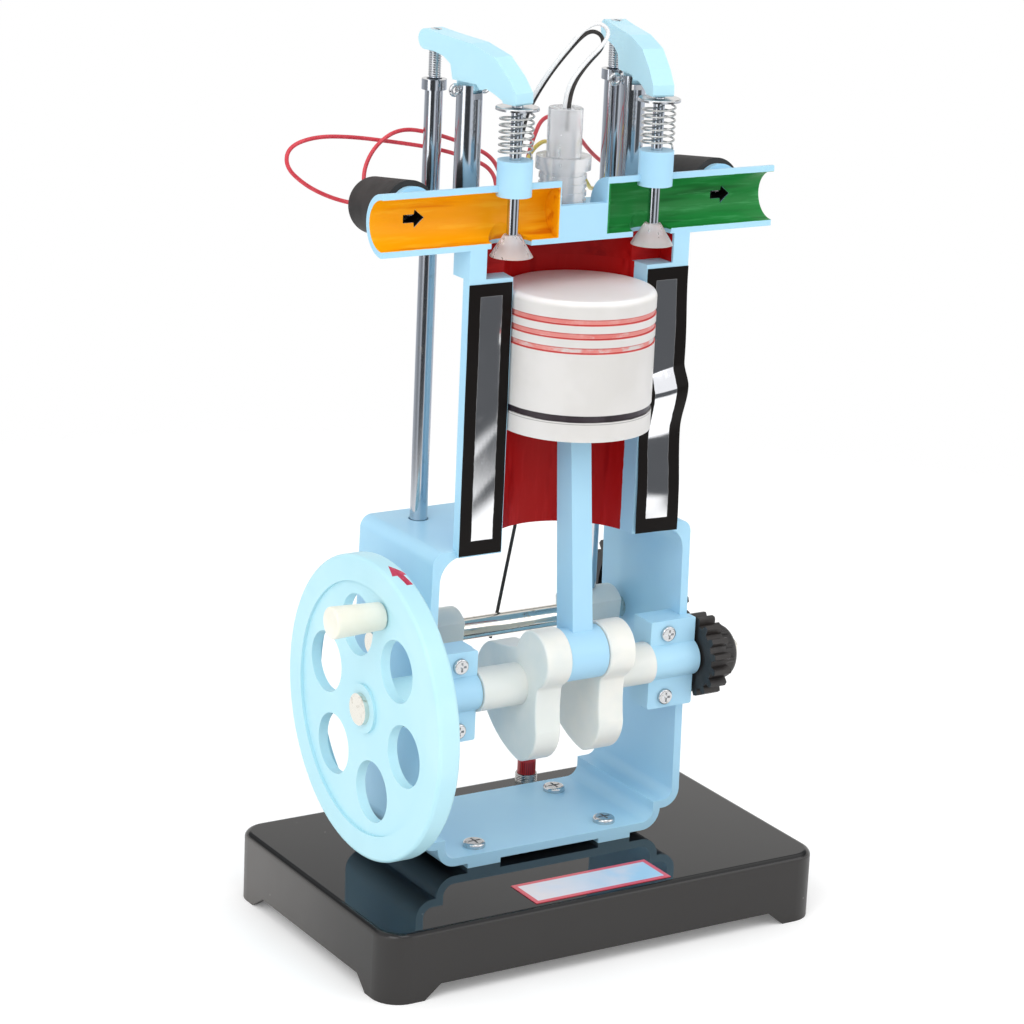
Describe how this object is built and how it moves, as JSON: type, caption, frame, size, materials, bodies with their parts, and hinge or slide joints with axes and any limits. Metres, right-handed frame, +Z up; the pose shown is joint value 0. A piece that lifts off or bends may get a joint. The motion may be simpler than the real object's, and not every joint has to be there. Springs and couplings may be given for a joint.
{
  "type": "combustion engine model",
  "caption": "Cut-open classroom model of a four-stroke petrol engine with crank handle, flywheel, piston, camshaft, rockers and valves on a flat base.",
  "frame": {"origin": "on the floor under the middle of the base", "axes": "+X along the crank axis away from the flywheel, +Y to the back, +Z up"},
  "size_m": [0.2098, 0.1395, 0.3568],
  "materials": {
    "black_base": "gloss black moulded plastic",
    "steel": "bright nickel plated steel",
    "battery": "wrapped cells",
    "label": "printed film with a red border, left bare",
    "red_cap": "red moulded plastic",
    "blue_plastic": "light blue moulded plastic",
    "mirror_film": "mirror film with a black border",
    "clear_plastic": "clear moulded plastic, slightly milky",
    "black_rubber": "soft black rubber",
    "black_wire": "black insulated wire",
    "red_lead": "red insulated wire",
    "yellow_lead": "yellow insulated wire",
    "white_lead": "white insulated wire",
    "white_nylon": "white nylon, slightly translucent",
    "black_gear": "black moulded gear plastic",
    "ivory_plastic": "ivory moulded plastic"
  },
  "bodies": {
    "stand": {"base_shell": "black_base", "base_plate": "black_base", "base_screws": "steel", "battery_pack": "battery", "label_plate": "label", "switch_collar": "steel", "frame_bracket": "blue_plastic", "frame_screws": "steel", "cylinder_block": "blue_plastic", "cylinder_head": "blue_plastic", "jacket_panels": "mirror_film", "bearing_cap_left": "blue_plastic", "bearing_cap_right": "blue_plastic", "cap_screws": "steel", "rocker_post_left": "steel", "rocker_post_right": "steel", "rocker_pins": "steel", "spark_plug": "clear_plastic", "lamps": "clear_plastic", "lamp_sleeve_left": "black_rubber", "lamp_sleeve_right": "black_rubber", "contact_spring": "black_wire", "lead_left_back": "red_lead", "lead_left_front": "red_lead", "lead_plug_white": "white_lead", "lead_plug_black": "black_wire", "lead_right_yellow": "yellow_lead", "lead_right_red": "red_lead"},
    "switch": {"switch_button": "red_cap"},
    "crank": {"crank_web_left": "white_nylon", "crank_web_right": "white_nylon", "crank_axles": "steel", "crank_gear": "black_gear", "flywheel": "blue_plastic", "handle_pin": "steel"},
    "handle": {"handle_grip": "ivory_plastic"},
    "camshaft": {"camshaft_rod": "steel", "cam_left": "white_nylon", "cam_right": "white_nylon", "cam_gear": "black_gear"},
    "piston": {"piston": "white_nylon", "wrist_pin": "steel"},
    "connecting_rod": {"connecting_rod": "blue_plastic", "crank_pin": "steel"},
    "rocker_left": {"rocker_arm_left": "blue_plastic", "adjusting_screw_left": "steel"},
    "push_rod_left": {"push_rod_left": "steel"},
    "valve_left": {"valve_stem_left": "steel", "valve_head_left": "clear_plastic", "spring_retainer_left": "steel", "valve_spring_left": "steel"},
    "rocker_right": {"rocker_arm_right": "blue_plastic", "adjusting_screw_right": "steel"},
    "push_rod_right": {"push_rod_right": "steel"},
    "valve_right": {"valve_stem_right": "steel", "valve_head_right": "clear_plastic", "spring_retainer_right": "steel", "valve_spring_right": "steel"}
  },
  "joints": [
    {"name": "crank_turn", "type": "hinge", "parent": "stand", "child": "crank", "pos_m": [0, -0.018, 0.1033], "axis": [1, 0, 0], "continuous": true},
    {"name": "handle_turn", "type": "hinge", "parent": "crank", "child": "handle", "pos_m": [-0.099, -0.029, 0.14352], "axis": [1, 0, 0], "continuous": true},
    {"name": "camshaft_turn", "type": "hinge", "parent": "stand", "child": "camshaft", "pos_m": [0, 0.0274, 0.1112], "axis": [1, 0, 0], "continuous": true},
    {"name": "piston_slide", "type": "slide", "parent": "stand", "child": "piston", "axis": [0, 0, 1], "range_m": [-0.0289, 0.0041]},
    {"name": "rod_swing", "type": "hinge", "parent": "piston", "child": "connecting_rod", "pos_m": [0, -0.018, 0.22571], "axis": [1, 0, 0], "range_deg": [-3.2, 14]},
    {"name": "switch_press", "type": "slide", "parent": "stand", "child": "switch", "axis": [0, 0, -1], "range_m": [0, 0.0025], "stiffness_N_per_m": 300, "springref_m": -0.0015},
    {"name": "rocker_left_swing", "type": "hinge", "parent": "stand", "child": "rocker_left", "pos_m": [-0.03652, 0.00808, 0.3325], "axis": [0.9812, 0.1928, 0], "range_deg": [0, 8.6]},
    {"name": "push_rod_left_slide", "type": "slide", "parent": "stand", "child": "push_rod_left", "axis": [0, 0, 1], "range_m": [0, 0.003], "stiffness_N_per_m": 280, "springref_m": -0.0044},
    {"name": "valve_left_slide", "type": "slide", "parent": "stand", "child": "valve_left", "axis": [0, 0, -1], "range_m": [0, 0.0042], "deforming": ["valve_spring_left"]},
    {"name": "rocker_right_swing", "type": "hinge", "parent": "stand", "child": "rocker_right", "pos_m": [0.03652, 0.00808, 0.3325], "axis": [0.9812, -0.1928, 0], "range_deg": [0, 8.6]},
    {"name": "push_rod_right_slide", "type": "slide", "parent": "stand", "child": "push_rod_right", "axis": [0, 0, 1], "range_m": [0, 0.003], "stiffness_N_per_m": 280, "springref_m": -0.0044},
    {"name": "valve_right_slide", "type": "slide", "parent": "stand", "child": "valve_right", "axis": [0, 0, -1], "range_m": [0, 0.0042], "deforming": ["valve_spring_right"]}
  ],
  "couplings": [
    {"joint": "camshaft_turn", "follows": "crank_turn", "ratio": -0.5},
    {"joint": "rocker_left_swing", "follows": "push_rod_left_slide", "rad_per_m": 49.75},
    {"joint": "valve_left_slide", "follows": "push_rod_left_slide", "ratio": 1.358},
    {"joint": "rocker_right_swing", "follows": "push_rod_right_slide", "rad_per_m": 49.75},
    {"joint": "valve_right_slide", "follows": "push_rod_right_slide", "ratio": 1.358}
  ]
}
